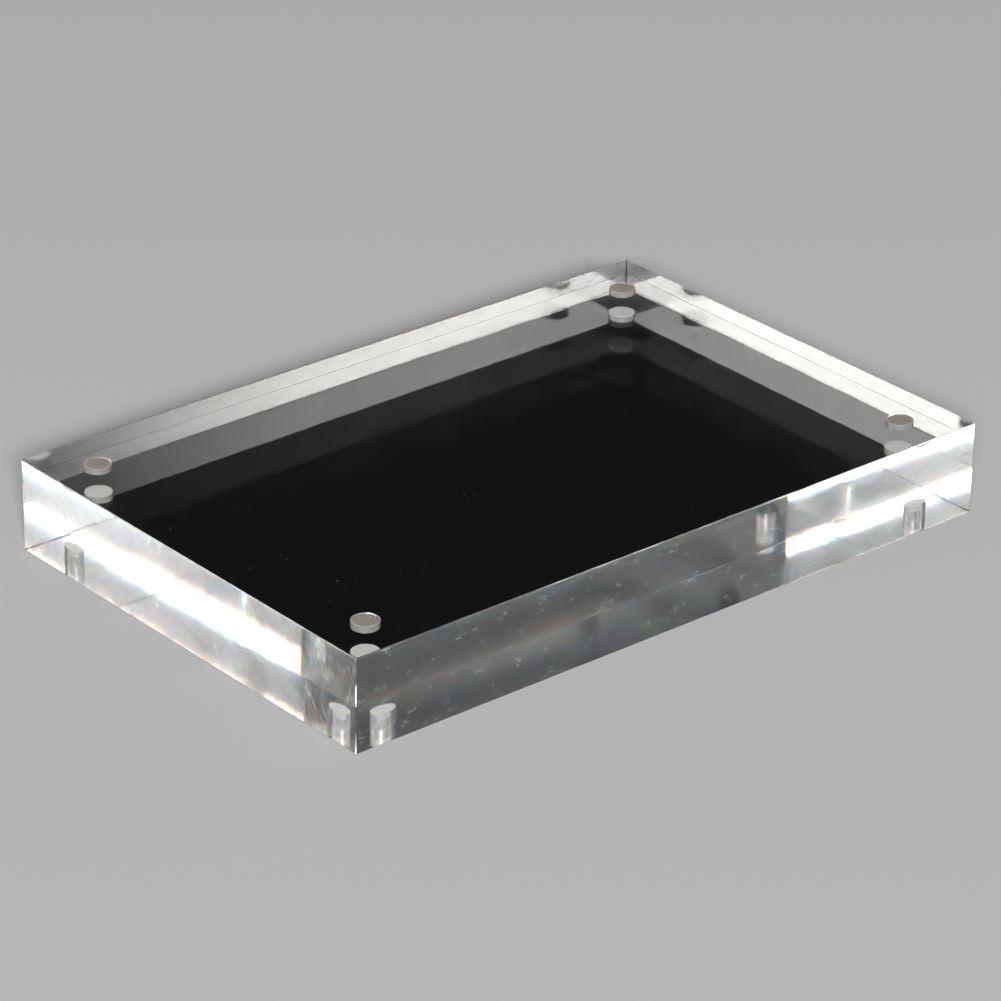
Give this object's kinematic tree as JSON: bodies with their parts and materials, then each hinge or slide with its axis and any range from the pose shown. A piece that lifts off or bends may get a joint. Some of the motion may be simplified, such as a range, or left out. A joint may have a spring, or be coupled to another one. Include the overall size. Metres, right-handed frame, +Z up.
{
  "type": "acrylic block frame",
  "caption": "Clear acrylic block frame: two thick polished panels laid face to face, with disc magnets bonded into blind bores at the corners; the upper panel lifts off.",
  "frame": {"origin": "middle of the face that the block lies on", "axes": "+X along the long side, +Y along the short side, +Z up through both panels"},
  "size_m": [0.1524, 0.1016, 0.0191],
  "materials": {
    "clear_acrylic": "polished",
    "nickel_plating": "satin",
    "clear_adhesive": "satin"
  },
  "bodies": {
    "lower_half": {"lower_panel": "clear_acrylic", "lower_magnet_near_left": "nickel_plating", "lower_adhesive_near_left": "clear_adhesive", "lower_magnet_near_right": "nickel_plating", "lower_adhesive_near_right": "clear_adhesive", "lower_magnet_far_left": "nickel_plating", "lower_adhesive_far_left": "clear_adhesive", "lower_magnet_far_right": "nickel_plating", "lower_adhesive_far_right": "clear_adhesive"},
    "upper_half": {"upper_panel": "clear_acrylic", "upper_magnet_near_left": "nickel_plating", "upper_adhesive_near_left": "clear_adhesive", "upper_magnet_near_right": "nickel_plating", "upper_adhesive_near_right": "clear_adhesive", "upper_magnet_far_left": "nickel_plating", "upper_adhesive_far_left": "clear_adhesive", "upper_magnet_far_right": "nickel_plating", "upper_adhesive_far_right": "clear_adhesive"}
  },
  "joints": [
    {"name": "upper_panel_lift", "type": "slide", "parent": "lower_half", "child": "upper_half", "axis": [0, 0, 1], "range_m": [0, 0.06]}
  ]
}
